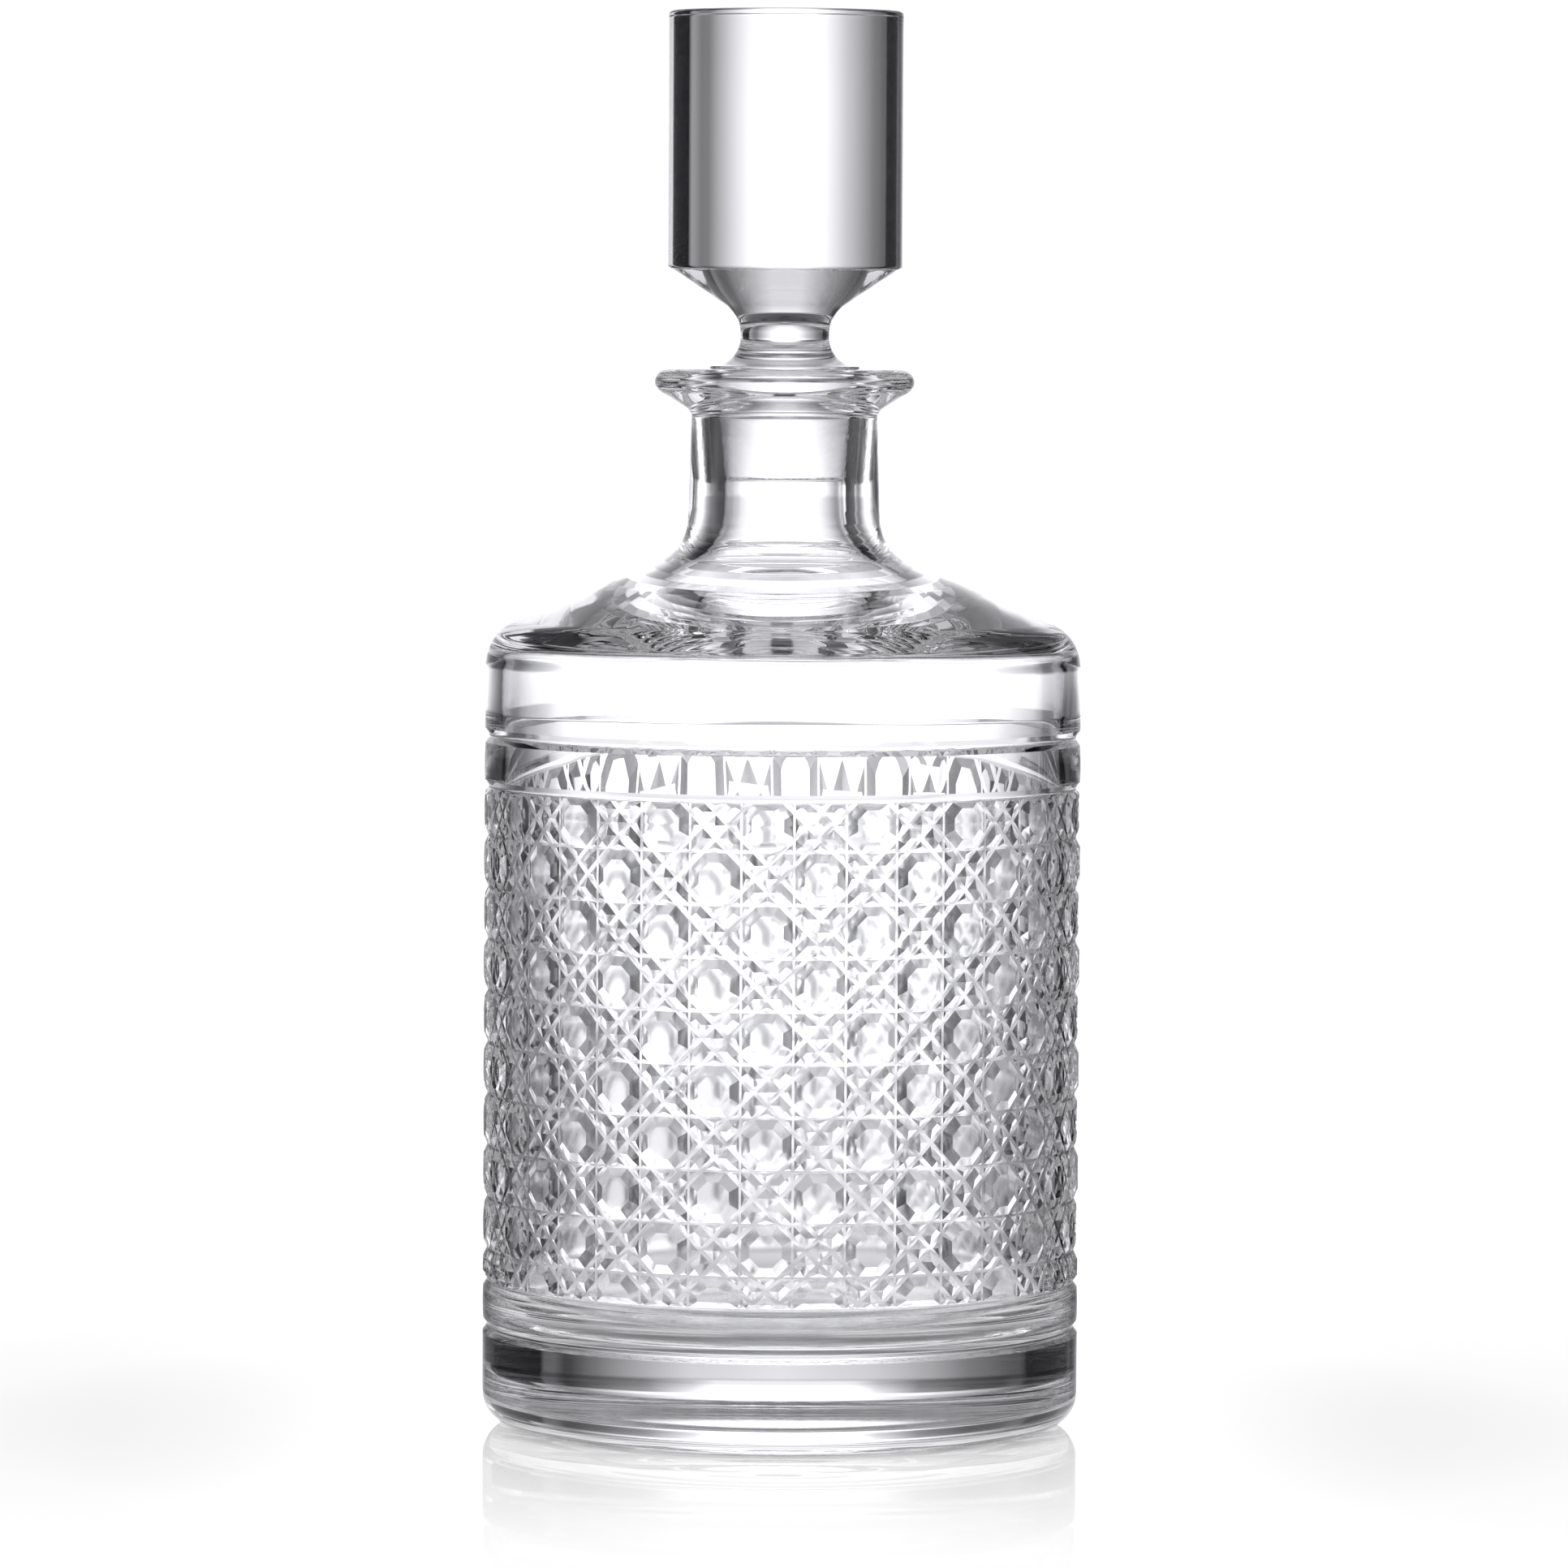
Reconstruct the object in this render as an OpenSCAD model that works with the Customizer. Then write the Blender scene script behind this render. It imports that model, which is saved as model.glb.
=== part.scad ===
// Cut-crystal decanter: one heavy glass bottle and one solid glass stopper.
// The axis of the round body is Z, and the foot stands on z = 0.

/* [Body] */
// Outside diameter of the body
body_d = 105.2; // [100:0.2:112]
// Height at which the shoulder's cone would meet the straight side
shoulder_z = 139.4; // [134:0.2:141]
// Rise of the shoulder above the horizontal, in degrees
shoulder_rise = 23; // [18:1:26]
// Radius of the round between the side and the shoulder
shoulder_round = 8.5; // [6:0.5:12]
// Radius of the round at the foot
foot_round = 5.5; // [3:0.5:8]
// Height of the hollow ground into the underside
punt_h = 1.2; // [0.5:0.1:3]
// Radius of the hollow in the underside
punt_r = 41; // [30:1:44]

/* [Wall] */
// Wall thickness of the plain band under the shoulder
wall_top = 3.1; // [2.6:0.1:4]
// Wall thickness of the body above the floor
wall_low = 4.6; // [4:0.1:6]
// Thickness of the shoulder at its edge, measured straight down
shoulder_wall = 4; // [3.4:0.1:5]
// Rise of the shoulder's inside above the horizontal, in degrees
inner_rise = 14; // [11:1:17]
// Height of the floor at its edge
floor_z = 18; // [16:0.5:22]
// Rise of the floor from its edge to its middle
floor_crown = 0.8; // [0.5:0.1:2]
// Radius of the round between the wall and the floor
floor_round = 8; // [5:0.5:10]

/* [Neck and lip] */
// Neck diameter where it leaves the shoulder
neck_low_d = 34; // [32:0.2:36]
// Neck diameter under the lip
neck_top_d = 32.8; // [31:0.2:34]
// Radius of the hollow round between the shoulder and the neck
neck_root_round = 8; // [5:0.5:9]
// Diameter of the neck bore below the stopper
bore_d = 20.9; // [19:0.1:21.4]
// Diameter over the lip
lip_d = 45.8; // [43:0.2:50]
// Thickness of the rolled rim of the lip
lip_t = 4.7; // [4:0.1:5.5]
// Height of the top of the lip
lip_z = 186.2; // [183:0.2:188]
// Slope of the lip's underside above the horizontal, in degrees
lip_rise = 32; // [26:1:36]

/* [Cutting] */
// Height of the polished ring groove in the base block
base_ring_z = 17.5; // [16:0.1:19]
// Height of the ring groove under the cut field
field_low_z = 25.5; // [24:0.1:26]
// Height of the ring groove over the cut field
field_high_z = 112.6; // [112:0.1:114.5]
// Height of the ring groove under the plain band
band_ring_z = 121.7; // [120:0.1:123]
// Depth of a ring groove
ring_depth = 0.75; // [0.4:0.05:0.9]
// Slope of a ring groove's flanks, in degrees from upright
ring_flank = 36; // [30:1:45]
// Radius at the root of a ring groove
ring_root = 0.8; // [0.5:0.1:1]
// Number of upright cuts around the body
cut_count = 36; // [24:4:48]
// Turn of the first upright cut from the front
cut_turn = 2.3; // [1:0.1:9]
// Width of an upright or level cut
cut_w = 3.6; // [2:0.1:4]
// Depth of an upright or level cut
cut_depth = 0.7; // [0.3:0.05:0.8]
// Height of the lowest level cut
cut_low_z = 31; // [29.5:0.1:33]
// Distance between the level cuts
cut_pitch = 9.13; // [8.6:0.01:9.2]
// Number of level cuts
level_cuts = 9; // [1:1:9]

/* [Stopper] */
// Diameter of the knob
knob_d = 41.4; // [38:0.2:46]
// Height of the top of the knob
knob_top_z = 249; // [240:0.5:256]
// Height of the underside of the knob
knob_low_z = 203.6; // [202:0.2:205]
// Radius of the knob's edges
knob_edge = 0.8; // [0.4:0.1:1.2]
// Diameter of the waist
waist_d = 15.7; // [14:0.1:17]
// Diameter of the collar above the lip
collar_d = 26.4; // [26:0.1:28]
// Diameter of the plug at its lower end
plug_low_d = 20.8; // [19:0.1:21.2]
// Height of the lower end of the plug
plug_low_z = 166.4; // [165:0.2:169]
// Widening of the plug's radius for each millimetre of height
plug_taper = 0.105; // [0.08:0.005:0.11]
// Gap all round between the ground plug and its seat
seat_gap = 0.05; // [0.03:0.01:0.1]

/* [Hidden] */
$fn = 96;
arc_steps = 8;
glass = [0.86, 0.89, 0.91, 0.45];
body_r = body_d / 2;
neck_low_r = neck_low_d / 2;
neck_top_r = neck_top_d / 2;
bore_r = bore_d / 2;
waist_r = waist_d / 2;
knob_r = knob_d / 2;

// Points along an arc about a centre, from one angle to another.
function arc(centre, r, from, to, steps = arc_steps) =
    [for (i = [0:steps])
        let (a = from + (to - from) * i / steps)
        centre + r * [cos(a), sin(a)]];

// Length from a corner to where a round of radius r meets its side.
function tangent(r, turn) = r * tan(turn / 2);

// Radius of the circle through a chord's ends at a given depth.
function bow_r(half_w, depth) = (half_w * half_w + depth * depth) / (2 * depth);

// A polished ring groove in the side, at height z, going up: two flanks and a round root.
ring_rise = ring_depth - ring_root * (1 - cos(ring_flank));
ring_half_w = ring_root * sin(ring_flank) + ring_rise / tan(ring_flank);
function ring_groove(z) = concat(
    [[body_r, z - ring_half_w]],
    arc([body_r - ring_depth + ring_root, z], ring_root, 180 + ring_flank, 180 - ring_flank, 5),
    [[body_r, z + ring_half_w]]
);

// A level V-cut in the side, at height z, going up.
function level_cut(z) =
    [[body_r, z - cut_w / 2], [body_r - cut_depth, z], [body_r, z + cut_w / 2]];

// Shoulder: a cone between two rounds.
shoulder_turn = 90 - shoulder_rise;
shoulder_round_z = shoulder_z - tangent(shoulder_round, shoulder_turn);
shoulder_slope = tan(shoulder_rise);
neck_corner_z = shoulder_z + (body_r - neck_low_r) * shoulder_slope;
neck_root_z = neck_corner_z + tangent(neck_root_round, shoulder_turn);

// Lip: a rolled rim on a sloping underside that is rounded into the neck.
roll_r = lip_t / 2;
roll_centre = [lip_d / 2 - roll_r, lip_z - roll_r];
lip_root_round = 2;
roll_end = 95;
lip_turn = 90 - lip_rise;
roll_low = roll_centre + roll_r * [sin(lip_rise), -cos(lip_rise)];
lip_corner_z = roll_low[1] - (roll_low[0] - neck_top_r) * tan(lip_rise);
lip_root_z = lip_corner_z - tangent(lip_root_round, lip_turn);

// Seat in the neck, and the round of the mouth.
seat_low_r = plug_low_d / 2 + seat_gap;
mouth_round = 1.6;
mouth_drop = 0.9;
seat_step = 1;
mouth_z = lip_z - mouth_drop - mouth_round;
function seat_r(z) = seat_low_r + (z - plug_low_z) * plug_taper;

// Inside of the shoulder and of the body.
inner_turn = 90 - inner_rise;
inner_slope = tan(inner_rise);
flare_round = 22;
inner_top_r = body_r - wall_top;
inner_low_r = body_r - wall_low;
inner_corner_z = shoulder_z - shoulder_wall + wall_top * shoulder_slope;
inner_round = 2.5;
inner_round_z = inner_corner_z - tangent(inner_round, inner_turn);
flare_corner_z = inner_corner_z + (inner_top_r - bore_r) * inner_slope;
flare_z = flare_corner_z + tangent(flare_round, inner_turn);
wall_step_reach = 4;
wall_step_top_z = band_ring_z + wall_step_reach;
wall_step_low_z = field_high_z - wall_step_reach;
wall_mid_r = body_r - (wall_top + wall_low) / 2;
wall_foot_z = floor_z + floor_round;
crown_r = bow_r(inner_low_r - floor_round, floor_crown);
crown_angle = asin((inner_low_r - floor_round) / crown_r);
punt_bow = bow_r(punt_r, punt_h);
punt_angle = asin(punt_r / punt_bow);

function bottle_outside() = concat(
    arc([0, punt_h - punt_bow], punt_bow, 90, 90 - punt_angle, 6),
    arc([body_r - foot_round, foot_round], foot_round, -90, 0),
    ring_groove(base_ring_z),
    ring_groove(field_low_z),
    [for (k = [0:level_cuts - 1]) each level_cut(cut_low_z + k * cut_pitch)],
    ring_groove(field_high_z),
    ring_groove(band_ring_z),
    arc([body_r - shoulder_round, shoulder_round_z], shoulder_round, 0, shoulder_turn),
    arc([neck_low_r + neck_root_round, neck_root_z], neck_root_round,
        180 + shoulder_turn, 180),
    arc([neck_top_r + lip_root_round, lip_root_z], lip_root_round, 180, 180 - lip_turn, 5),
    arc(roll_centre, roll_r, lip_rise - 90, roll_end, 12)
);

function bottle_inside() = concat(
    arc([seat_r(mouth_z) + mouth_round, mouth_z], mouth_round, 90, 180, 5),
    [[seat_low_r, plug_low_z], [bore_r, plug_low_z - seat_step]],
    arc([bore_r + flare_round, flare_z], flare_round, 180, 180 + inner_turn),
    arc([inner_top_r - inner_round, inner_round_z], inner_round, inner_turn, 0),
    [[inner_top_r, wall_step_top_z], [wall_mid_r, wall_step_low_z]],
    arc([inner_low_r - floor_round, wall_foot_z], floor_round, 0, -90),
    arc([0, floor_z + floor_crown - crown_r], crown_r, 90 - crown_angle, 90, 6)
);

module upright_cuts() {
    // Each cut is a prism whose edge points at the axis.
    outside = 1;
    spread = cut_w / 2 * (cut_depth + outside) / cut_depth;
    for (k = [0:cut_count - 1])
        rotate([0, 0, cut_turn + k * 360 / cut_count])
            translate([0, -body_r, field_low_z])
                linear_extrude(field_high_z - field_low_z)
                    polygon([[0, cut_depth], [-spread, -outside], [spread, -outside]]);
}

module bottle() {
    color(glass)
        difference() {
            rotate_extrude() polygon(concat(bottle_outside(), bottle_inside()));
            upright_cuts();
        }
}

// Stopper: tapered plug, collar, waist, flare and solid knob.
plug_low_r = plug_low_d / 2;
plug_edge = 0.5;
collar_sink = 0.1;
plug_neck = 0.4;
waist_h = 0.6;
collar_low_z = lip_z - collar_sink;
collar_edge = 0.3;
collar_r = collar_d / 2;
plug_top_z = collar_low_z - plug_neck;
plug_top_r = plug_low_r + (plug_top_z - plug_low_z) * plug_taper;
collar_sweep = 5;
collar_top_z = collar_low_z + 2 * collar_edge;
waist_low_z = collar_top_z + collar_sweep;
waist_top_z = waist_low_z + waist_h;
flare_sweep = 6;
flare_turn = 56.5;
flare_end = [waist_r + flare_sweep * (1 - cos(flare_turn)),
             waist_top_z + flare_sweep * sin(flare_turn)];
flare_top_r = flare_end[0] + (knob_low_z - flare_end[1]) * tan(flare_turn);

function stopper_outline() = concat(
    [[0, plug_low_z]],
    arc([plug_low_r - plug_edge, plug_low_z + plug_edge], plug_edge, -90, 0, 4),
    [[plug_top_r, plug_top_z]],
    arc([collar_r - collar_edge, collar_low_z + collar_edge], collar_edge, -90, 90, 6),
    arc([waist_r + collar_sweep, waist_low_z], collar_sweep, 270, 180),
    arc([waist_r + flare_sweep, waist_top_z], flare_sweep, 180, 180 - flare_turn),
    [[flare_top_r, knob_low_z]],
    arc([knob_r - knob_edge, knob_low_z + knob_edge], knob_edge, -90, 0, 4),
    arc([knob_r - knob_edge, knob_top_z - knob_edge], knob_edge, 0, 90, 4),
    [[0, knob_top_z]]
);

module stopper() {
    color(glass) rotate_extrude() polygon(stopper_outline());
}

bottle();
stopper();
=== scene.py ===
"""A cut-glass decanter with its stopper, on a pale floor in bright-field studio light.

Lengths of the object are in millimetres, as on a drawing, and MM turns them into metres
when a mesh is made. A profile is a list of (radius, height) points that is turned about Z.
"""

import math

import bmesh
import bpy
from mathutils import Euler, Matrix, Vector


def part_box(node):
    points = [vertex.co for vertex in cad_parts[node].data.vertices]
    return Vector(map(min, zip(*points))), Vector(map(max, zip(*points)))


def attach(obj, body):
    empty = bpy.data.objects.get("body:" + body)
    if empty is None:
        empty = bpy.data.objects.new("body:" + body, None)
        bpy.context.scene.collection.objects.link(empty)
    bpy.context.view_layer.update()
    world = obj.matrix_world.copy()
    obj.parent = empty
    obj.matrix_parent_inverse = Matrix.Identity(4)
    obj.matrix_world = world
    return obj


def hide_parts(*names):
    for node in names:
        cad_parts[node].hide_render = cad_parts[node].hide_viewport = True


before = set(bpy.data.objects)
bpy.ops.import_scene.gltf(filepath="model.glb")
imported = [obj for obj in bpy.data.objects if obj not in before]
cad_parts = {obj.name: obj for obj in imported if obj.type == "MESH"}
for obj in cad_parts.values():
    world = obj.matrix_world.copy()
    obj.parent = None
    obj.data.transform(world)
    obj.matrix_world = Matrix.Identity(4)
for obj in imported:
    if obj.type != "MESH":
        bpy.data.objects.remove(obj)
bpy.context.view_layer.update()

MM = 0.001

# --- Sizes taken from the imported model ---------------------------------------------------
# The radii are rounded down to 0.01 mm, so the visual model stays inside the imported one.
BOTTLE_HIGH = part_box("bottle")[1]
STOPPER_LOW, STOPPER_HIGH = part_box("stopper")
BODY_R = math.floor(min(BOTTLE_HIGH.x, BOTTLE_HIGH.y) / MM * 100) / 100
LIP_Z = BOTTLE_HIGH.z / MM
KNOB_R = math.floor(min(STOPPER_HIGH.x, STOPPER_HIGH.y) / MM * 100) / 100
KNOB_TOP = STOPPER_HIGH.z / MM
PLUG_LOW = STOPPER_LOW.z / MM

# --- Cut pattern -------------------------------------------------------------------------
CELLS = 36                     # cells around the body
REPEAT = 2                     # cells in one repeat of the pattern, both ways
SLICES = 4                     # mesh slices across one cell
SEGMENTS = CELLS * SLICES      # mesh slices around the body
CELL_W = 2 * math.pi * BODY_R / CELLS
PITCH = 9.13                   # height of a cell
FIRST_CUT_TURN = 2.3           # degrees from the front to the nearest upright cut
TOP_CUT_Z = 104.1              # height of the highest level cut
CUT_DEPTH = 0.70
CUT_HALF_W = 1.80              # half width of the upright and level cuts
CUT_ROOT = 0.22                # half width of their polished root
SLANT_HALF_W = 2.15            # half width of the slanting cuts
SLANT_ROOT = 0.38
SLANT_OFFSET = 0.75            # cells from an octagon's middle to a slanting cut, along X or Z

# --- Ring grooves ------------------------------------------------------------------------
RING_Z = (17.5, 25.5, 112.6, 121.7)
RING_DEPTH = 0.75
RING_FLANK = 36                # degrees from upright
RING_ROOT = 0.8                # radius of the root
BAND_SAG = 0.07                # crown of the band between two ring grooves

SMOOTH_ANGLE = math.radians(13)


def arc(centre, radius, start, end, steps):
    """Points of an arc from one angle to another, in degrees."""
    points = []
    for i in range(steps + 1):
        a = math.radians(start + (end - start) * i / steps)
        points.append((centre[0] + radius * math.cos(a), centre[1] + radius * math.sin(a)))
    return points


def tangent(radius, turn):
    """How far from a corner a round of that radius starts."""
    return radius * math.tan(math.radians(turn) / 2)


def bow(half_w, depth):
    """Radius of the circle that sags by depth over a half width."""
    return (half_w * half_w + depth * depth) / (2 * depth)


# --- The unwrapped cut field -------------------------------------------------------------
# A point is (x, y) in cells from the middle of an octagon. A plane (a, b, c) gives the
# height a*x + b*y + c over the uncut surface, in millimetres, and cuts are below zero.
LEAST_AREA = 1e-7              # parts smaller than this many square cells are dropped
ON_EDGE = 4e-5                 # cells within which a corner counts as lying on an edge
TILE = 0.25                    # cells, the size of a box in the search for such corners


def value(plane, point):
    return plane[0] * point[0] + plane[1] * point[1] + plane[2]


def minus(p, q):
    return (p[0] - q[0], p[1] - q[1], p[2] - q[2])


def split(polygon, plane, eps=1e-9):
    """A convex polygon's parts below and above the line where the plane is zero."""
    below, above = [], []
    heights = [value(plane, p) for p in polygon]
    for i, (p, h) in enumerate(zip(polygon, heights)):
        q, k = polygon[(i + 1) % len(polygon)], heights[(i + 1) % len(polygon)]
        if h <= eps:
            below.append(p)
        if h >= -eps:
            above.append(p)
        if (h > eps and k < -eps) or (h < -eps and k > eps):
            t = h / (h - k)
            crossing = (p[0] + (q[0] - p[0]) * t, p[1] + (q[1] - p[1]) * t)
            below.append(crossing)
            above.append(crossing)
    return [part if area(part) > LEAST_AREA else None for part in (below, above)]


def area(polygon):
    total = 0.0
    for (x0, y0), (x1, y1) in zip(polygon, polygon[1:] + polygon[:1]):
        total += x0 * y1 - x1 * y0
    return abs(total) / 2


def split_all(polygons, planes):
    """Every polygon, split along the zero line of every plane."""
    for plane in planes:
        polygons = [part for polygon in polygons for part in split(polygon, plane) if part]
    return polygons


SLANT_SCALE = 1 / math.hypot(1 / CELL_W, 1 / PITCH)


def cut_lines(low, high):
    """Each cut as (direction x, direction y, offset, millimetres per cell, half width, root)."""
    lines = []
    for k in range(-1, REPEAT + 1):
        lines.append((1, 0, k + 0.5, CELL_W, CUT_HALF_W, CUT_ROOT))
    for k in range(math.floor(low) - 1, math.ceil(high) + 1):
        lines.append((0, 1, k + 0.5, PITCH, CUT_HALF_W, CUT_ROOT))
    reach = math.ceil(high - low) + 2 * REPEAT
    for k in range(-reach, reach):
        for side in (-SLANT_OFFSET, SLANT_OFFSET):
            for lean in (-1, 1):
                offset = REPEAT * k + side
                lines.append((1, lean, offset, SLANT_SCALE, SLANT_HALF_W, SLANT_ROOT))
    return lines


def cut_planes(line):
    """The two flanks of a cut's V, which would meet below its flat root."""
    dx, dy, offset, scale, half_w, root = line
    slope = CUT_DEPTH / (half_w - root)
    sunk = CUT_DEPTH + slope * root
    return [
        (side * slope * scale * dx, side * slope * scale * dy,
         -side * slope * scale * offset - sunk)
        for side in (-1, 1)
    ]


def ring_profile(steps=5):
    """Half a ring groove, as (distance from its middle, height), from the root to the edge."""
    flank = math.radians(RING_FLANK)
    root = [
        (RING_ROOT * math.sin(flank * i / steps),
         -RING_DEPTH + RING_ROOT * (1 - math.cos(flank * i / steps)))
        for i in range(steps + 1)
    ]
    edge = root[-1][0] - root[-1][1] / math.tan(flank)
    return root + [(edge, 0.0)]


FLOOR_PLANE = (0, 0, -CUT_DEPTH)
ZERO_PLANE = (0, 0, 0)


def lowest_parts(polygon, planes):
    """The polygon's parts, each with the plane that is lowest on it."""
    parts = []
    for i, plane in enumerate(planes):
        part = polygon
        for j, other in enumerate(planes):
            if i != j and part:
                difference = minus(plane, other)
                if difference == (0, 0, 0):
                    part = part if i < j else None
                else:
                    part = split(part, difference)[0]
        if part:
            parts.append((part, plane))
    return parts


def carve(polygon, lines):
    """Splits one polygon, which no cut's middle crosses, into facets with their planes."""
    flanks = []
    middle = [sum(p[i] for p in polygon) / len(polygon) for i in (0, 1)]
    for line in lines:
        plane = max(cut_planes(line), key=lambda f: value(f, middle))
        if min(value(plane, p) for p in polygon) < 0:
            flanks.append(plane)
    facets = []
    for part, plane in lowest_parts(polygon, [ZERO_PLANE] + flanks):
        if plane == ZERO_PLANE:
            facets.append((part, plane))
            continue
        deep, shallow = split(part, minus(plane, FLOOR_PLANE))
        if deep:
            facets.append((deep, FLOOR_PLANE))
        if shallow:
            facets.append((shallow, plane))
    return facets


def field_facets(low, high):
    """Facets of one repeat of the pattern between two ring grooves, at heights in cells."""
    lines = cut_lines(low, high)
    middles = [(dx, dy, -offset) for dx, dy, offset, *_ in lines]
    slices = [(1, 0, 0.5 - k / SLICES) for k in range(1, REPEAT * SLICES)]
    x0, x1 = -0.5, REPEAT - 0.5
    ring = [(d / PITCH, h) for d, h in ring_profile()]
    strips = [(low + a[0], low + b[0], a, b, 1) for a, b in zip(ring, ring[1:])]
    strips += [(high - b[0], high - a[0], a, b, -1) for a, b in zip(ring, ring[1:])]
    strips.append((low + ring[-1][0], high - ring[-1][0], None, None, 0))
    facets = []
    for y0, y1, a, b, way in strips:
        box = [(x0, y0), (x1, y0), (x1, y1), (x0, y1)]
        columns = split_all([box], slices)
        if not way:
            for polygon in split_all(columns, middles):
                facets += carve(polygon, lines)
            continue
        slope = way * (b[1] - a[1]) / (b[0] - a[0])
        start = (low if way > 0 else high) + way * a[0]
        groove = (0, slope, a[1] - slope * start)
        if b[1] <= -CUT_DEPTH:
            facets += [(polygon, groove) for polygon in columns]
            continue
        for polygon in split_all(columns, middles):
            for part, plane in carve(polygon, lines):
                facets += lowest_parts(part, [groove, plane])
    return facets


def key(x, y):
    return (round(x, 5), round(y, 5))


def tiles(start, end):
    """Numbers of the tiles along X or Y that a stretch and its neighbours can touch."""
    return range(math.floor(min(start, end) / TILE) - 1, math.floor(max(start, end) / TILE) + 2)


def with_shared_corners(facets):
    """Adds to each facet's outline the corners of its neighbours that lie on its edges."""
    left, right = -0.5, REPEAT - 0.5
    corners = {key(*p) for polygon, _ in facets for p in polygon}
    corners |= {key(right, y) for x, y in corners if x == left}
    corners |= {key(left, y) for x, y in corners if x == right}
    grid = {}
    for x, y in corners:
        grid.setdefault((math.floor(x / TILE), math.floor(y / TILE)), []).append((x, y))
    made = []
    for polygon, plane in facets:
        outline = []
        points = [key(*p) for p in polygon]
        for (x0, y0), (x1, y1) in zip(points, points[1:] + points[:1]):
            length = math.hypot(x1 - x0, y1 - y0)
            if length == 0:
                continue
            outline.append((x0, y0))
            on_edge = []
            for cell in ((i, j) for i in tiles(x0, x1) for j in tiles(y0, y1)):
                for x, y in grid.get(cell, ()):
                    along = ((x - x0) * (x1 - x0) + (y - y0) * (y1 - y0)) / length
                    off = abs((x - x0) * (y1 - y0) - (y - y0) * (x1 - x0)) / length
                    if off < ON_EDGE < along < length - ON_EDGE:
                        on_edge.append((along, (x, y)))
            outline += [p for _, p in sorted(on_edge)]
        if len(outline) > 2:
            made.append((outline, plane))
    return made


# --- Mesh building -----------------------------------------------------------------------

class Shell:
    """Vertices and faces of one closed glass surface, with shared corners merged."""

    def __init__(self, segments):
        self.segments = segments
        self.places = []
        self.faces = []
        self.slots = []
        self.index = {}

    def vertex(self, azimuth, radius, height):
        """The vertex at that azimuth (degrees from the front), radius and height in mm."""
        turn = math.radians(azimuth)
        place = (radius * math.sin(turn), -radius * math.cos(turn), height)
        name = tuple(round(c, 4) for c in place)
        if name not in self.index:
            self.index[name] = len(self.places)
            self.places.append(tuple(c * MM for c in place))
        return self.index[name]

    def face(self, corners, slot=0):
        unique = [c for i, c in enumerate(corners) if c != corners[i - 1]]
        if len(unique) > 2:
            self.faces.append(unique)
            self.slots.append(slot)

    def revolve(self, profile, ripple=None, finish=(), turn=0.0):
        """Turns a profile about Z. Its faces look to the right of its direction of travel.

        ripple(azimuth, radius, height) adds to the radius and height, and each finish is a
        height range in which the surface takes the next material after the first.
        """
        rings = []
        for radius, height in profile:
            ring = []
            for k in range(self.segments):
                azimuth = turn + 360 * k / self.segments
                extra = ripple(azimuth, radius, height) if ripple and radius > 0 else (0, 0)
                ring.append(self.vertex(azimuth, radius + extra[0], height + extra[1]))
            rings.append(ring)
        for (lower, upper), a, b in zip(zip(rings, rings[1:]), profile, profile[1:]):
            middle = (a[1] + b[1]) / 2
            slot = sum(n for n, (low, high) in enumerate(finish, 1) if low < middle < high)
            for k in range(self.segments):
                n = (k + 1) % self.segments
                self.face([lower[k], lower[n], upper[n], upper[k]], slot)

    def build(self, name, materials):
        mesh = bpy.data.meshes.new(name)
        mesh.from_pydata(self.places, [], self.faces)
        mesh.polygons.foreach_set("material_index", self.slots)
        for material in materials:
            mesh.materials.append(material)
        merge_corners(mesh)
        mesh.polygons.foreach_set("use_smooth", [True] * len(mesh.polygons))
        mesh.set_sharp_from_angle(angle=SMOOTH_ANGLE)
        piece = bpy.data.objects.new(name, mesh)
        bpy.context.scene.collection.objects.link(piece)
        return piece


def merge_corners(mesh, reach=0.003):
    """Joins corners that rounding left a few micrometres apart."""
    form = bmesh.new()
    form.from_mesh(mesh)
    bmesh.ops.remove_doubles(form, verts=form.verts, dist=reach * MM)
    bmesh.ops.dissolve_degenerate(form, edges=form.edges, dist=reach * MM / 10)
    form.to_mesh(mesh)
    form.free()


def supported(profile, step, lead=0.25):
    """The profile with points added, close to its corners and along its long stretches."""
    made = [profile[0]]
    for (r0, z0), (r1, z1) in zip(profile, profile[1:]):
        length = math.hypot(r1 - r0, z1 - z0)
        stops = []
        if length > 4 * lead:
            count = max(1, math.ceil(length / step))
            stops = [lead / length]
            stops += [i / count for i in range(1, count)]
            stops += [1 - lead / length]
        for t in sorted(stops) + [1]:
            made.append((r0 + (r1 - r0) * t, z0 + (z1 - z0) * t))
    return made


# --- Bottle ------------------------------------------------------------------------------
FOOT_ROUND = 5.5
PUNT_R, PUNT_H = 41, 1.2
SHOULDER_Z, SHOULDER_RISE, SHOULDER_ROUND = 139.4, 23, 8.5
NECK_LOW_R, NECK_TOP_R, NECK_ROOT_ROUND = 17, 16.4, 8
LIP_R, LIP_T, LIP_RISE, LIP_ROOT_ROUND = 22.9, 4.7, 32, 2
LIP_ROLL_END = 95              # degrees from level at which the lip's roll ends, on top
BORE_R = 10.45
PLUG_LOW_R, PLUG_TAPER, SEAT_GAP = 10.4, 0.105, 0.05
MOUTH_ROUND, MOUTH_DROP = 1.6, 0.9
WALL_TOP, WALL_LOW, SHOULDER_WALL = 3.1, 4.6, 4.0
INNER_RISE = 14                # slope of the shoulder's inside, in degrees
THICKENING = 4                 # how far past the upper grooves the wall's taper changes
FLOOR_Z, FLOOR_CROWN, FLOOR_ROUND = 18, 0.8, 8
FLOOR_ROUND_START = -6         # degrees from level
FLARE_ROUND, INNER_ROUND = 22, 2.5
SHOULDER_WAVE, SIDE_WAVE, STAND_WAVE = 0.09, 0.05, 0.02
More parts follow.
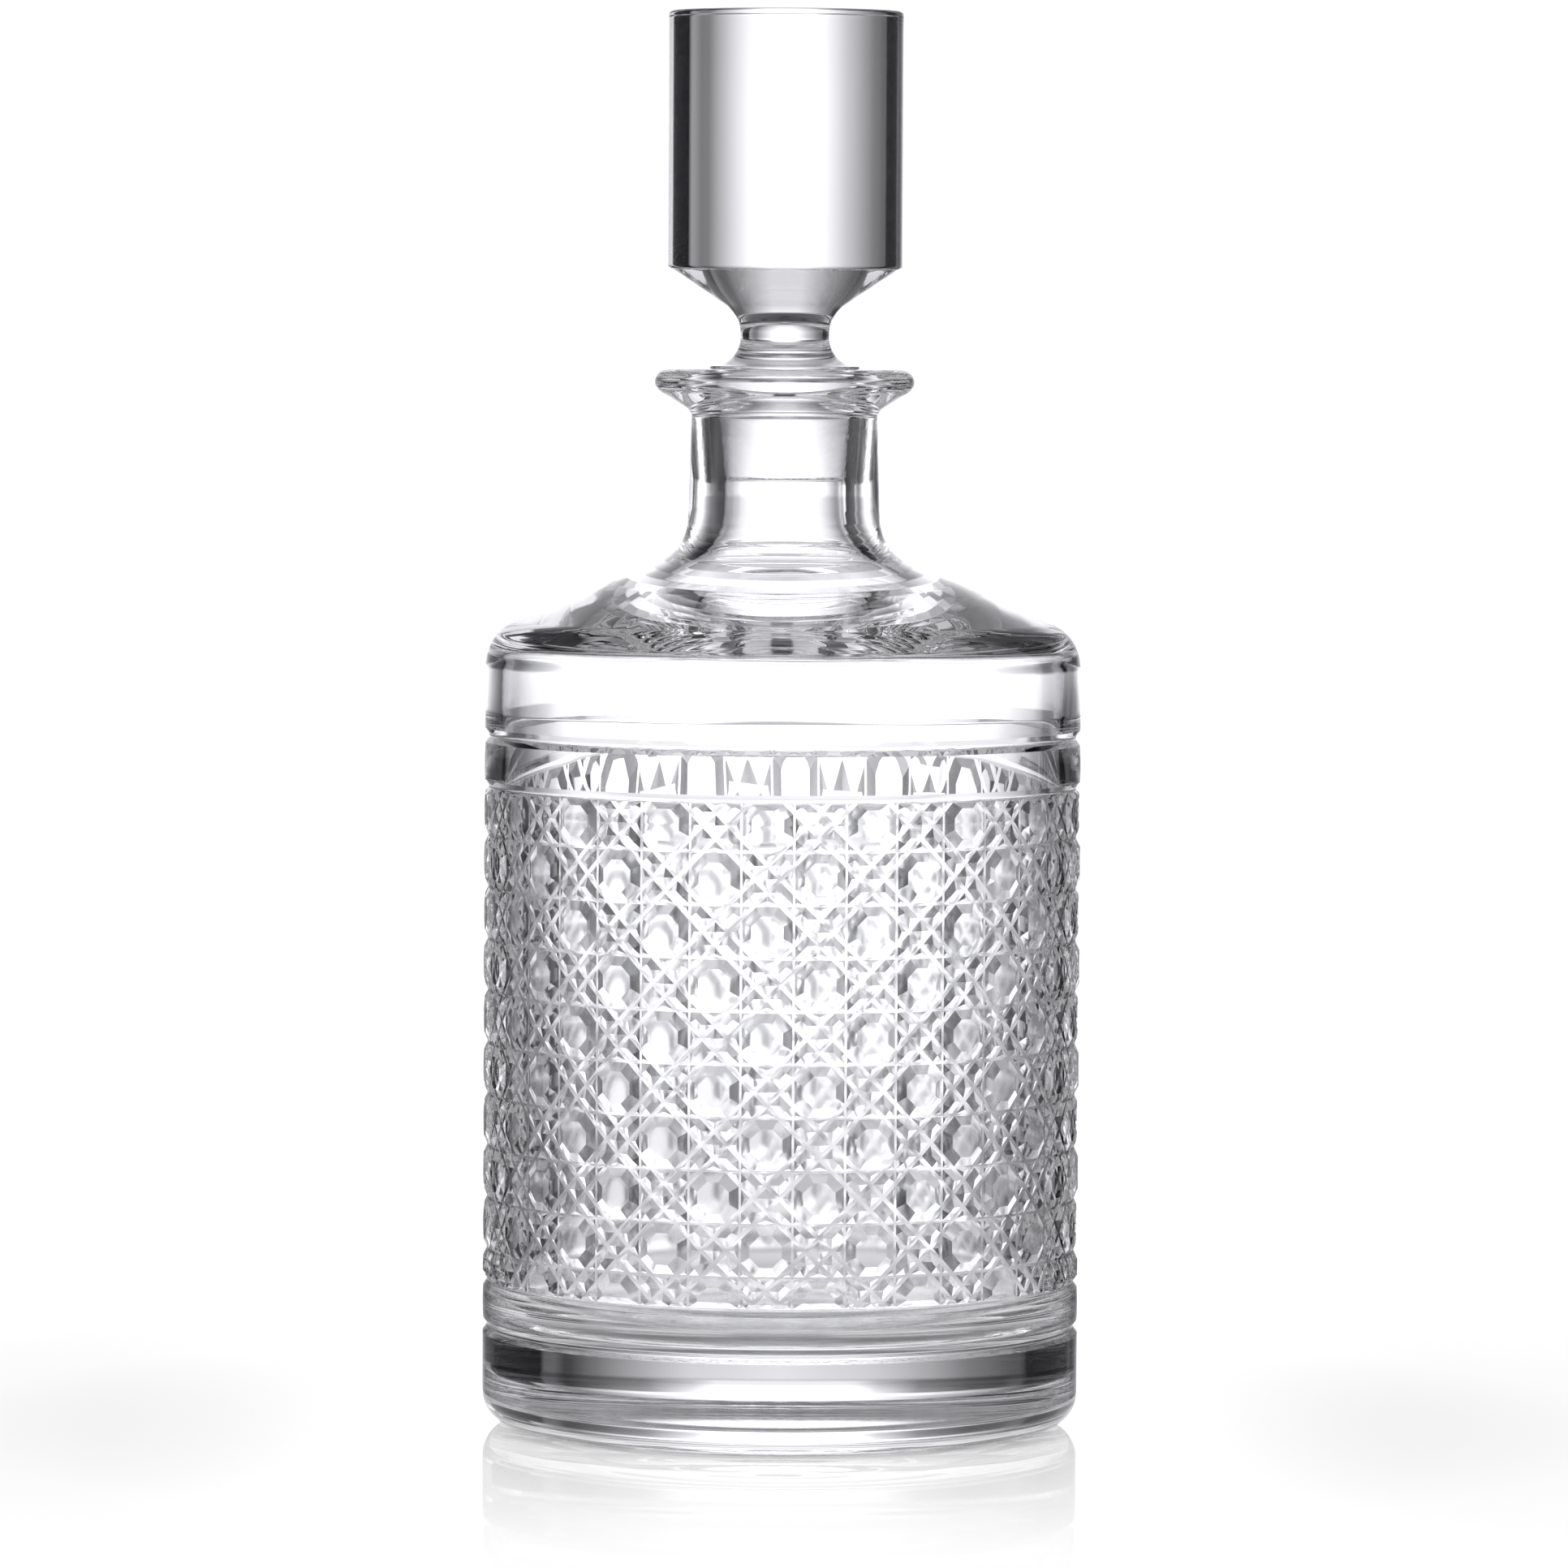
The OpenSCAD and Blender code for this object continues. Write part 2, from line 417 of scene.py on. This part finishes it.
FLOOR_WAVE, FLOOR_WAVE_LENGTH = 0.14, 12
SMOOTH_BORE = 6                # length of bore under the seat that has no waves
# Heights or radii between which waves set in or die away.
SIDE_WAVES_IN, SHOULDER_WAVES_IN, NECK_WAVES_OUT = (20, 36), (122, 138), (BORE_R, 17)
FLOOR_WAVES_OUT, STAND_WAVES_IN, STAND_WAVES_OUT = (30, 40), (40, 42), (0.3, 2.4)
# The blown waves, as (share, waves around, radians of lean for each millimetre, start).
BLOWN_WAVES = [(0.50, 3, 0.11, 0.4), (0.34, 5, -0.19, 1.9), (0.26, 8, 0.31, 4.1),
               (0.16, 13, -0.23, 2.7)]
# The mould's waves on the standing ring: fine ones that come in swells, and broader ones.
FINE_SHARE, FINE_COUNT, SWELL_COUNT, SWELL_START = 0.6, 72, 5, 1.0
BROAD_SHARE, BROAD_COUNT, BROAD_START = 0.4, 41, 2.0
SHOULDER_TURN = 90 - SHOULDER_RISE
SHOULDER_SLOPE = math.tan(math.radians(SHOULDER_RISE))
INNER_TURN = 90 - INNER_RISE
INNER_SLOPE = math.tan(math.radians(INNER_RISE))
MOUTH_Z = LIP_Z - MOUTH_DROP - MOUTH_ROUND
SEAT_LOW_R = PLUG_LOW_R + SEAT_GAP
FLOOR_TOP = FLOOR_Z + FLOOR_CROWN + 1    # the floor's rings stay below this height
# Heights between which the surface is ground or moulded and not polished.
GROUND_FOOT = (-1, PUNT_H + 0.1)
GROUND_SEAT = (PLUG_LOW, MOUTH_Z - 2)
MOULDED_SIDE = (FLOOR_Z + FLOOR_ROUND, RING_Z[2])


def seat_r(z):
    return SEAT_LOW_R + (z - PLUG_LOW) * PLUG_TAPER


def ring_groove(z, half=0):
    """A ring groove going up; half is -1 for its lower half and 1 for its upper half."""
    up = [(BODY_R + h, z + d) for d, h in ring_profile()]
    down = [(BODY_R + h, z - d) for d, h in reversed(ring_profile())]
    if half < 0:
        return down
    return up if half > 0 else down + up[1:]


def polished_band(low, high, steps=8):
    """The slightly crowned band between two ring grooves, edge to edge."""
    edge = ring_profile()[-1][0]
    start, end = low + edge - BAND_SAG / 2, high - edge + BAND_SAG / 2
    points = []
    for i in range(steps + 1):
        across = 2 * i / steps - 1
        points.append((BODY_R - BAND_SAG * across * across, start + (end - start) * i / steps))
    return points


def foot_profile():
    """The underside and the base block, up to the root of the groove under the cut field."""
    punt_bow = bow(PUNT_R, PUNT_H)
    spread = math.degrees(math.asin(PUNT_R / punt_bow))
    return (
        [(0, PUNT_H)]
        + arc((0, PUNT_H - punt_bow), punt_bow, 90 - spread / 12, 90 - spread, 11)
        + arc((BODY_R - FOOT_ROUND, FOOT_ROUND), FOOT_ROUND, -90, 0, 12)
        + ring_groove(RING_Z[0])[:-1]
        + polished_band(RING_Z[0], RING_Z[1])
        + ring_groove(RING_Z[1], half=-1)[1:]
    )


def shoulder_profile():
    """From the root of the groove over the cut field to the rolled edge of the lip."""
    side_z = SHOULDER_Z - tangent(SHOULDER_ROUND, SHOULDER_TURN)
    corner_z = SHOULDER_Z + (BODY_R - NECK_LOW_R) * SHOULDER_SLOPE
    root_z = corner_z + tangent(NECK_ROOT_ROUND, SHOULDER_TURN)
    roll_r = LIP_T / 2
    roll = (LIP_R - roll_r, LIP_Z - roll_r)
    rise = math.radians(LIP_RISE)
    under = (roll[0] + roll_r * math.sin(rise), roll[1] - roll_r * math.cos(rise))
    lip_corner_z = under[1] - (under[0] - NECK_TOP_R) * math.tan(rise)
    lip_root_z = lip_corner_z - tangent(LIP_ROOT_ROUND, 90 - LIP_RISE)
    return (
        ring_groove(RING_Z[2], half=1)[:-1]
        + polished_band(RING_Z[2], RING_Z[3])
        + ring_groove(RING_Z[3])[1:]
        + arc((BODY_R - SHOULDER_ROUND, side_z), SHOULDER_ROUND, 0, SHOULDER_TURN, 12)
        + arc((NECK_LOW_R + NECK_ROOT_ROUND, root_z), NECK_ROOT_ROUND,
              180 + SHOULDER_TURN, 180, 12)
        + arc((NECK_TOP_R + LIP_ROOT_ROUND, lip_root_z), LIP_ROOT_ROUND,
              180, 90 + LIP_RISE, 8)
        + arc(roll, roll_r, LIP_RISE - 90, LIP_ROLL_END, 18)
    )


def inside_profile():
    """From the top of the lip down the bore, over the inside wall and to the floor's middle."""
    top_r, low_r = BODY_R - WALL_TOP, BODY_R - WALL_LOW
    corner_z = SHOULDER_Z - SHOULDER_WALL + WALL_TOP * SHOULDER_SLOPE
    side_z = corner_z - tangent(INNER_ROUND, INNER_TURN)
    flare_z = (corner_z + (top_r - BORE_R) * INNER_SLOPE
               + tangent(FLARE_ROUND, INNER_TURN))
    foot_z = FLOOR_Z + FLOOR_ROUND
    crown_bow = bow(low_r - FLOOR_ROUND, FLOOR_CROWN)
    spread = math.degrees(math.asin((low_r - FLOOR_ROUND) / crown_bow))
    return (
        arc((seat_r(MOUTH_Z) + MOUTH_ROUND, MOUTH_Z), MOUTH_ROUND, 90, 180, 8)
        + [(SEAT_LOW_R, PLUG_LOW), (BORE_R, PLUG_LOW - 1)]
        + arc((BORE_R + FLARE_ROUND, flare_z), FLARE_ROUND, 180, 180 + INNER_TURN, 12)
        + arc((top_r - INNER_ROUND, side_z), INNER_ROUND, INNER_TURN, 0, 10)
        + [(top_r, RING_Z[3] + THICKENING),
           ((top_r + low_r) / 2, RING_Z[2] - THICKENING),
           (low_r, foot_z)]
        + arc((low_r - FLOOR_ROUND, foot_z), FLOOR_ROUND, FLOOR_ROUND_START, -90, 12)
        + arc((0, FLOOR_Z + FLOOR_CROWN - crown_bow), crown_bow, 90 - spread, 90, 14)
    )


def eased(x, low, high):
    """0 below low, 1 above high and smooth between."""
    t = min(1, max(0, (x - low) / (high - low)))
    return t * t * (3 - 2 * t)


def blown_ripple(azimuth, radius, height):
    """The uneven inside that blowing leaves: waves on the shoulder and rings on the floor."""
    if height > PLUG_LOW - SMOOTH_BORE:
        return (0, 0)
    a = math.radians(azimuth)
    shoulder = eased(height, *SHOULDER_WAVES_IN)
    side = eased(height, *SIDE_WAVES_IN) * (1 - shoulder)
    waves = sum(share * math.sin(count * a + lean * height + start)
                for share, count, lean, start in BLOWN_WAVES)
    lift = waves * SHOULDER_WAVE * shoulder * eased(radius, *NECK_WAVES_OUT)
    if height < FLOOR_TOP:
        inner = 1 - eased(radius, *FLOOR_WAVES_OUT)
        lift += FLOOR_WAVE * inner * math.cos(math.tau * radius / FLOOR_WAVE_LENGTH)
    return (waves * SIDE_WAVE * side, lift)


def foot_ripple(azimuth, radius, height):
    """Fine radial waves that the mould leaves on the ring that the bottle stands on."""
    on_ring = eased(radius, *STAND_WAVES_IN) * (1 - eased(height, *STAND_WAVES_OUT))
    a = math.radians(azimuth)
    waves = (FINE_SHARE * math.sin(FINE_COUNT * a) * math.sin(SWELL_COUNT * a + SWELL_START)
             + BROAD_SHARE * math.sin(BROAD_COUNT * a + BROAD_START))
    return (0, STAND_WAVE * on_ring * (1 + waves))


def make_bottle(materials):
    shell = Shell(SEGMENTS)
    cell_turn = 360 / CELLS
    # The middle of an octagon in the highest full row stands half a cell from a cut.
    octagon_turn = FIRST_CUT_TURN + cell_turn / 2
    octagon_z = TOP_CUT_Z - PITCH / 2
    low = (RING_Z[1] - octagon_z) / PITCH
    high = (RING_Z[2] - octagon_z) / PITCH
    facets = with_shared_corners(field_facets(low, high))
    for repeat in range(CELLS // REPEAT):
        for outline, plane in facets:
            corners = [
                shell.vertex(octagon_turn + (x + REPEAT * repeat) * cell_turn,
                             BODY_R + value(plane, (x, y)),
                             octagon_z + y * PITCH)
                for x, y in outline
            ]
            shell.face(corners)
    shell.revolve(supported(foot_profile(), step=3), ripple=foot_ripple, finish=[GROUND_FOOT],
                  turn=FIRST_CUT_TURN)
    outside_top = shoulder_profile() + inside_profile()[:1]
    shell.revolve(supported(outside_top, step=3), turn=FIRST_CUT_TURN)
    shell.revolve(supported(inside_profile(), step=2), ripple=blown_ripple,
                  finish=[GROUND_SEAT, MOULDED_SIDE], turn=FIRST_CUT_TURN)
    return shell.build("cut_glass_bottle", materials)


# --- Stopper -----------------------------------------------------------------------------
KNOB_LOW, KNOB_EDGE = 203.6, 0.8
WAIST_R = 7.85
COLLAR_R, COLLAR_EDGE, COLLAR_SWEEP = 13.2, 0.3, 5.0
COLLAR_DROP = 0.1              # the collar's underside lies this far below the lip's top
COLLAR_LOW = LIP_Z - COLLAR_DROP
PLUG_STEP = 0.4                # height over which the plug widens to the collar
PLUG_TOP, PLUG_EDGE = COLLAR_LOW - PLUG_STEP, 0.5
FLARE_SWEEP, FLARE_TURN = 6, 56.5
WAIST_LOW = COLLAR_LOW + 2 * COLLAR_EDGE + COLLAR_SWEEP
WAIST_H = 0.6
WAIST_TOP = WAIST_LOW + WAIST_H
GROUND_PLUG = (PLUG_LOW + 1, PLUG_TOP)


def stopper_profile():
    plug_top_r = PLUG_LOW_R + (PLUG_TOP - PLUG_LOW) * PLUG_TAPER
    turn = math.radians(FLARE_TURN)
    flare_end = (WAIST_R + FLARE_SWEEP * (1 - math.cos(turn)),
                 WAIST_TOP + FLARE_SWEEP * math.sin(turn))
    flare_top_r = flare_end[0] + (KNOB_LOW - flare_end[1]) * math.tan(turn)
    return (
        [(0, PLUG_LOW)]
        + arc((PLUG_LOW_R - PLUG_EDGE, PLUG_LOW + PLUG_EDGE), PLUG_EDGE, -90, 0, 6)
        + [(plug_top_r, PLUG_TOP)]
        + arc((COLLAR_R - COLLAR_EDGE, COLLAR_LOW + COLLAR_EDGE), COLLAR_EDGE, -90, 90, 12)
        + arc((WAIST_R + COLLAR_SWEEP, WAIST_LOW), COLLAR_SWEEP, 270, 180, 14)
        + arc((WAIST_R + FLARE_SWEEP, WAIST_TOP), FLARE_SWEEP, 180, 180 - FLARE_TURN, 12)
        + [(flare_top_r, KNOB_LOW)]
        + arc((KNOB_R - KNOB_EDGE, KNOB_LOW + KNOB_EDGE), KNOB_EDGE, -90, 0, 8)
        + arc((KNOB_R - KNOB_EDGE, KNOB_TOP - KNOB_EDGE), KNOB_EDGE, 0, 90, 8)
        + [(0, KNOB_TOP)]
    )


def make_stopper(materials):
    shell = Shell(SEGMENTS)
    shell.revolve(supported(stopper_profile(), step=4), finish=[GROUND_PLUG])
    return shell.build("solid_glass_stopper", materials)


# --- Materials ---------------------------------------------------------------------------
GLASS_IOR = 1.53
NOISE_LOW, NOISE_HIGH = 0.3, 0.7         # where a noise texture's values mostly lie
WHITE = (1, 1, 1, 1)


def node(tree, kind, inputs=None, **settings):
    made = tree.nodes.new(kind)
    for name, setting in settings.items():
        setattr(made, name, setting)
    for name, given in (inputs or {}).items():
        if isinstance(given, bpy.types.NodeSocket):
            tree.links.new(given, made.inputs[name])
        else:
            made.inputs[name].default_value = given
    return made


def ramp(tree, factor, stops):
    made = node(tree, "ShaderNodeValToRGB", {"Fac": factor})
    elements = made.color_ramp.elements
    while len(elements) < len(stops):
        elements.new(0.5)
    for element, (place, colour) in zip(elements, stops):
        element.position = place
        element.color = (*colour, 1)
    return made.outputs["Color"]


def level_ramp(tree, factor, low, high, stops):
    """A strength that follows (place, strength) stops between two ends."""
    share = node(tree, "ShaderNodeMapRange", {"Value": factor, "From Min": low, "From Max": high})
    most = max(level for _, level in stops)
    made = ramp(tree, share.outputs["Result"], [
        ((place - low) / (high - low), (level / most,) * 3) for place, level in stops])
    scaled = node(tree, "ShaderNodeMath", {0: made, 1: most}, operation="MULTIPLY")
    return scaled.outputs[0]


def glass_material(name, roughness, bump_scale, bump_height, tints):
    """Clear glass with faint cords in it, and a surface as its last polish left it."""
    material = bpy.data.materials.new(name)
    material.use_nodes = True
    tree = material.node_tree
    tree.nodes.clear()
    coordinates = node(tree, "ShaderNodeTexCoord")
    place = coordinates.outputs["Object"]
    cords = node(tree, "ShaderNodeTexNoise", {"Vector": place, "Scale": 35, "Detail": 2})
    polish = node(tree, "ShaderNodeTexNoise", {"Vector": place, "Scale": bump_scale, "Detail": 1})
    colour = ramp(tree, cords.outputs["Fac"], [(NOISE_LOW, tints[0]), (NOISE_HIGH, tints[1])])
    rough = node(tree, "ShaderNodeMapRange", {
        "Value": polish.outputs["Fac"], "From Min": NOISE_LOW, "From Max": NOISE_HIGH,
        "To Min": roughness[0], "To Max": roughness[1]})
    bump = node(tree, "ShaderNodeBump", {
        "Height": polish.outputs["Fac"], "Strength": 1, "Distance": bump_height})
    shader = node(tree, "ShaderNodeBsdfPrincipled", {
        "Base Color": colour, "Roughness": rough.outputs["Result"],
        "IOR": GLASS_IOR, "Transmission Weight": 1, "Normal": bump.outputs["Normal"]})
    node(tree, "ShaderNodeOutputMaterial", {"Surface": shader.outputs["BSDF"]})
    return material


# --- Studio ------------------------------------------------------------------------------
FLOOR_GAP = 0.2                # millimetres between the foot and the floor, so they never meet
FLOOR_R = 8.0
FLOOR_GREY, FLOOR_POLISH = 0.12, 0.03
WALL_GLOW = 1.1
SHEET_R = 0.075                # the part of the floor that the glass itself looks down on
NEAR_R = 0.5
TENT_R, TENT_Z = 0.55, 0.12
TENT_POLE, TENT_ROWS = 89.9, 33          # degrees that the tent reaches up and down
STAGE_SIDES = 64               # sides of every circle of the stage
# Light that the floor gives back, as (metres from the middle, strength): it is weaker under the
# foot, where it is a painted shadow.
FLOOR_GLOW_AND_PAINTED_SHADOW = [(0.0, 0.20), (0.044, 0.20), (0.050, 0.60), (0.056, 1.02), (1.0, 1.02)]

# The mirror on the floor, as (metres from the middle, strength): it fades away from the foot.
MIRROR = [(0.0, 0.40), (0.060, 0.40), (0.09, 0.30), (0.15, 0.12), (0.25, 0.03), (1.0, 0.0)]

# Light around the object, as (degrees from straight behind it, strength). Right is positive.
AROUND = [
    (-180, 0.06), (-157, 0.06), (-148, 0.70), (-88, 0.90), (-76, 0.04), (-70, 0.02), (-56, 0.010),
    (-50, 0.015), (-43, 0.045), (-41.5, 0.08), (-36, 0.14), (-29, 0.32), (-21, 0.58),
    (-13, 1.0), (-7, 1.35), (6, 1.35), (12, 1.0), (21, 0.52), (29, 0.16), (34, 0.14),
    (39, 0.30), (41.5, 0.32), (43, 0.008), (65, 0.008), (67, 0.95), (84, 1.0), (98, 0.9),
    (148, 0.70), (157, 0.06), (180, 0.06),
]
# The same behind the cut field, where the light is narrower and stronger.
AROUND_FIELD = [
    (-180, 0.06), (-157, 0.06), (-148, 0.70), (-88, 0.90), (-76, 0.04), (-70, 0.02), (-56, 0.010),
    (-40, 0.002), (-39, 0.08), (-36, 0.09), (-32, 0.05), (-25, 0.08), (-17, 0.30),
    (-11, 1.0), (-8, 1.8), (7, 1.8), (10, 1.05), (16, 0.33), (24, 0.10), (29, 0.02),
    (31, 0.02), (33.5, 0.12), (36.5, 0.12), (37.8, 0.002), (65, 0.002), (67, 0.5),
    (90, 0.9), (148, 0.70), (157, 0.06), (180, 0.06),
]
# The same below the height of the table, where black cards stand at both sides.
AROUND_LOW = [
    (-180, 0.80), (-105, 0.80), (-88, 0.08), (-80, 0.002), (-40, 0.002), (-39, 0.10),
    (-36, 0.11), (-32, 0.15), (-25, 0.22), (-17, 0.56), (-10.6, 0.85), (0, 1.08), (10, 0.91),
    (16, 0.56), (24, 0.20), (29, 0.05), (31, 0.04), (33.5, 0.15), (36.5, 0.15), (37.8, 0.002),
    (52, 0.002), (80, 0.002), (88, 0.08), (105, 0.80), (180, 0.80),
]
TABLE_RISE = (-17.0, -15.5)    # degrees between which the last gives way to the one before
FIELD_RISE = (-3.0, -1.0)      # degrees between which that one gives way to the first
# How much of it there is at each elevation, in degrees. ALL_ROUND is added to it: the white
# table below and a weak light overhead.
UP_AND_DOWN = [
    (-90, 0.20), (-40, 0.22), (-28, 0.25), (-21, 0.80), (-18, 0.80), (-16.5, 0.55), (-14, 0.50),
    (-12, 0.66), (-6, 0.92), (-3.5, 1.0), (-2.3, 1.55), (1.5, 1.55), (4, 1.05), (13, 1.1),
    (26, 0.8), (40, 0.6), (60, 0.4), (90, 0.2),
]
ALL_ROUND = [(-90, 0.35), (-27, 0.35), (-21, 0.0), (50, 0.0), (62, 0.12), (90, 0.2)]
# What the cloth gives where it is dark, and the tint of its light.
DARK_TINT = (0.003, 0.003, 0.004, 1)
CLOTH_TINT = (1.0, 0.993, 1.03, 1)


def floor_material():
    """Pale acrylic: an even glow with a painted shadow under the foot, and a weak mirror that
    fades away from the object.
    """
    material = bpy.data.materials.new("pale_acrylic")
    material.use_nodes = True
    tree = material.node_tree
    tree.nodes.clear()
    place = node(tree, "ShaderNodeTexCoord").outputs["Object"]
    reach = node(tree, "ShaderNodeVectorMath", {0: place}, operation="LENGTH")
    mirror = level_ramp(tree, reach.outputs["Value"], 0.0, 1.0, MIRROR)
    grey = (FLOOR_GREY, FLOOR_GREY, FLOOR_GREY, 1)
    acrylic = node(tree, "ShaderNodeBsdfDiffuse", {"Color": grey})
    # The glow is weaker under the foot: a painted shadow.
    level = level_ramp(tree, reach.outputs["Value"], 0.0, 1.0, FLOOR_GLOW_AND_PAINTED_SHADOW)
    glow = node(tree, "ShaderNodeEmission", {"Color": WHITE, "Strength": level})
    lit = node(tree, "ShaderNodeAddShader")
    tree.links.new(acrylic.outputs[0], lit.inputs[0])
    tree.links.new(glow.outputs[0], lit.inputs[1])
    gloss = node(tree, "ShaderNodeBsdfAnisotropic", {"Color": WHITE, "Roughness": FLOOR_POLISH})
    mixed = node(tree, "ShaderNodeMixShader", {"Fac": mirror})
    tree.links.new(lit.outputs[0], mixed.inputs[1])
    tree.links.new(gloss.outputs[0], mixed.inputs[2])
    node(tree, "ShaderNodeOutputMaterial", {"Surface": mixed.outputs[0]})
    return material


def white_material():
    material = bpy.data.materials.new("white_paper")
    material.use_nodes = True
    tree = material.node_tree
    tree.nodes.clear()
    glow = node(tree, "ShaderNodeEmission", {"Color": WHITE, "Strength": WALL_GLOW})
    node(tree, "ShaderNodeOutputMaterial", {"Surface": glow.outputs[0]})
    return material


def stage_mesh(name, places, faces, material):
    mesh = bpy.data.meshes.new(name)
    mesh.from_pydata(places, [], faces)
    mesh.materials.append(material)
    made = bpy.data.objects.new(name, mesh)
    bpy.context.scene.collection.objects.link(made)
    return made


def circle(radius, height):
    turns = [math.tau * k / STAGE_SIDES for k in range(STAGE_SIDES)]
    return [(radius * math.cos(turn), radius * math.sin(turn), height) for turn in turns]


def strips(rows):
    """Faces between circles of points that follow each other in one list."""
    sides = STAGE_SIDES
    return [
        (row * sides + k, row * sides + (k + 1) % sides,
         (row + 1) * sides + (k + 1) % sides, (row + 1) * sides + k)
        for row in range(rows - 1) for k in range(sides)
    ]


def make_floor():
    """A pale floor under a round white wall, both far larger than the view."""
    z = -FLOOR_GAP * MM
    acrylic = floor_material()
    stage_mesh("floor_sheet", circle(SHEET_R, z), [tuple(range(STAGE_SIDES))], acrylic)
    around = circle(SHEET_R, z) + circle(NEAR_R, z) + circle(FLOOR_R, z)
    floor = stage_mesh("floor", around, strips(3), acrylic)
    places = circle(FLOOR_R, z) + circle(FLOOR_R, FLOOR_R)
    wall = stage_mesh("white_wall", places, strips(2), white_material())
    for surround in (floor, wall):
        surround.visible_transmission = False
        surround.visible_glossy = False
        surround.visible_diffuse = False


def tent_material():
    """Backlit cloth, bright behind the object, with dark gaps and a strip light beside it."""
    material = bpy.data.materials.new("backlit_cloth")
    material.use_nodes = True
    tree = material.node_tree
    tree.nodes.clear()
    place = node(tree, "ShaderNodeTexCoord").outputs["Object"]
    unit = node(tree, "ShaderNodeVectorMath", {0: place}, operation="NORMALIZE")
    axes = node(tree, "ShaderNodeSeparateXYZ", {"Vector": unit.outputs["Vector"]})
    turn = node(tree, "ShaderNodeMath", {0: axes.outputs["X"], 1: axes.outputs["Y"]},
                operation="ARCTAN2")
    turn = node(tree, "ShaderNodeMath", {0: turn.outputs[0]}, operation="DEGREES").outputs[0]
    rise = node(tree, "ShaderNodeMath", {0: axes.outputs["Z"]}, operation="ARCSINE")
    rise = node(tree, "ShaderNodeMath", {0: rise.outputs[0]}, operation="DEGREES").outputs[0]
    around = level_ramp(tree, turn, -180, 180, AROUND_LOW)
    for stops, (start, end) in ((AROUND_FIELD, TABLE_RISE), (AROUND, FIELD_RISE)):
        above = node(tree, "ShaderNodeMapRange", {
            "Value": rise, "From Min": start, "From Max": end})
        around = node(tree, "ShaderNodeMixRGB", {
            "Fac": above.outputs["Result"], "Color1": around,
            "Color2": level_ramp(tree, turn, -180, 180, stops)}).outputs[0]
    upright = level_ramp(tree, rise, -90, 90, UP_AND_DOWN)
    even = level_ramp(tree, rise, -90, 90, ALL_ROUND)
    level = node(tree, "ShaderNodeMath", {0: around, 1: upright, 2: even},
                 operation="MULTIPLY_ADD")
    tinted = node(tree, "ShaderNodeMixRGB", {
        "Fac": 1, "Color1": DARK_TINT, "Color2": level.outputs[0]}, blend_type="ADD")
    cool = node(tree, "ShaderNodeMixRGB", {
        "Fac": 1, "Color1": tinted.outputs[0], "Color2": CLOTH_TINT}, blend_type="MULTIPLY")
    glow = node(tree, "ShaderNodeEmission", {"Color": cool.outputs[0], "Strength": 1})
    node(tree, "ShaderNodeOutputMaterial", {"Surface": glow.outputs[0]})
    material.cycles.emission_sampling = "NONE"
    return material


def make_tent():
    """A light tent around the object. It stands still, whatever the camera does."""
    places = []
    for row in range(TENT_ROWS):
        rise = math.radians(-TENT_POLE + 2 * TENT_POLE * row / (TENT_ROWS - 1))
        places += circle(TENT_R * math.cos(rise), TENT_R * math.sin(rise))
    tent = stage_mesh("light_tent", places, strips(TENT_ROWS), tent_material())
    tent.location.z = TENT_Z
    tent.visible_camera = False


def make_world():
    world = bpy.data.worlds.new("studio")
    bpy.context.scene.world = world
    world.use_nodes = True
    background = world.node_tree.nodes["Background"]
    background.inputs["Color"].default_value = WHITE
    background.inputs["Strength"].default_value = 0


# --- Camera ------------------------------------------------------------------------------
SENSOR, LENS = 36, 208.5
CAMERA_DISTANCE = 1.6          # metres in front of the axis
CAMERA_X, CAMERA_Z = -0.2, 201
AIM_Z = 113.0                  # height on the axis that the camera looks at
ROLL = -0.30                   # degrees
CLIP_START, CLIP_END = 0.05, 50


def make_camera():
    data = bpy.data.cameras.new("camera")
    data.lens = LENS
    data.sensor_width = SENSOR
    data.clip_start, data.clip_end = CLIP_START, CLIP_END
    camera = bpy.data.objects.new("camera", data)
    bpy.context.scene.collection.objects.link(camera)
    bpy.context.scene.camera = camera
    tilt = math.atan2((AIM_Z - CAMERA_Z) * MM, CAMERA_DISTANCE)
    camera.location = (CAMERA_X * MM, -CAMERA_DISTANCE, CAMERA_Z * MM)
    camera.rotation_euler = Euler((math.pi / 2 + tilt, math.radians(ROLL), 0), "XYZ")


def set_look():
    scene = bpy.context.scene
    scene.view_settings.view_transform = "Standard"
    scene.cycles.max_bounces = 28
    scene.cycles.transmission_bounces = 28
    scene.cycles.glossy_bounces = 16
    scene.cycles.diffuse_bounces = 3
    scene.cycles.use_denoising = True
    scene.cycles.caustics_reflective = True
    scene.cycles.caustics_refractive = True
    scene.cycles.blur_glossy = 0.1
    scene.cycles.sample_clamp_indirect = 6


make_camera()
polished = glass_material("polished_crystal", (0.0, 0.012), 110, 0.000006,
                          ((0.975, 0.98, 0.985), (0.99, 0.99, 0.995)))
ground = glass_material("fine_ground_crystal", (0.03, 0.09), 900, 0.00002,
                        ((0.97, 0.975, 0.98), (0.99, 0.99, 0.995)))
moulded = glass_material("moulded_crystal_inside", (0.08, 0.12), 90, 0.00001,
                         ((0.975, 0.98, 0.985), (0.99, 0.99, 0.995)))

bottle = make_bottle([polished, ground, moulded])
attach(bottle, "bottle")
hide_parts("bottle")

stopper = make_stopper([polished, ground])
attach(stopper, "stopper")
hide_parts("stopper")

make_floor()
make_tent()
make_world()
set_look()
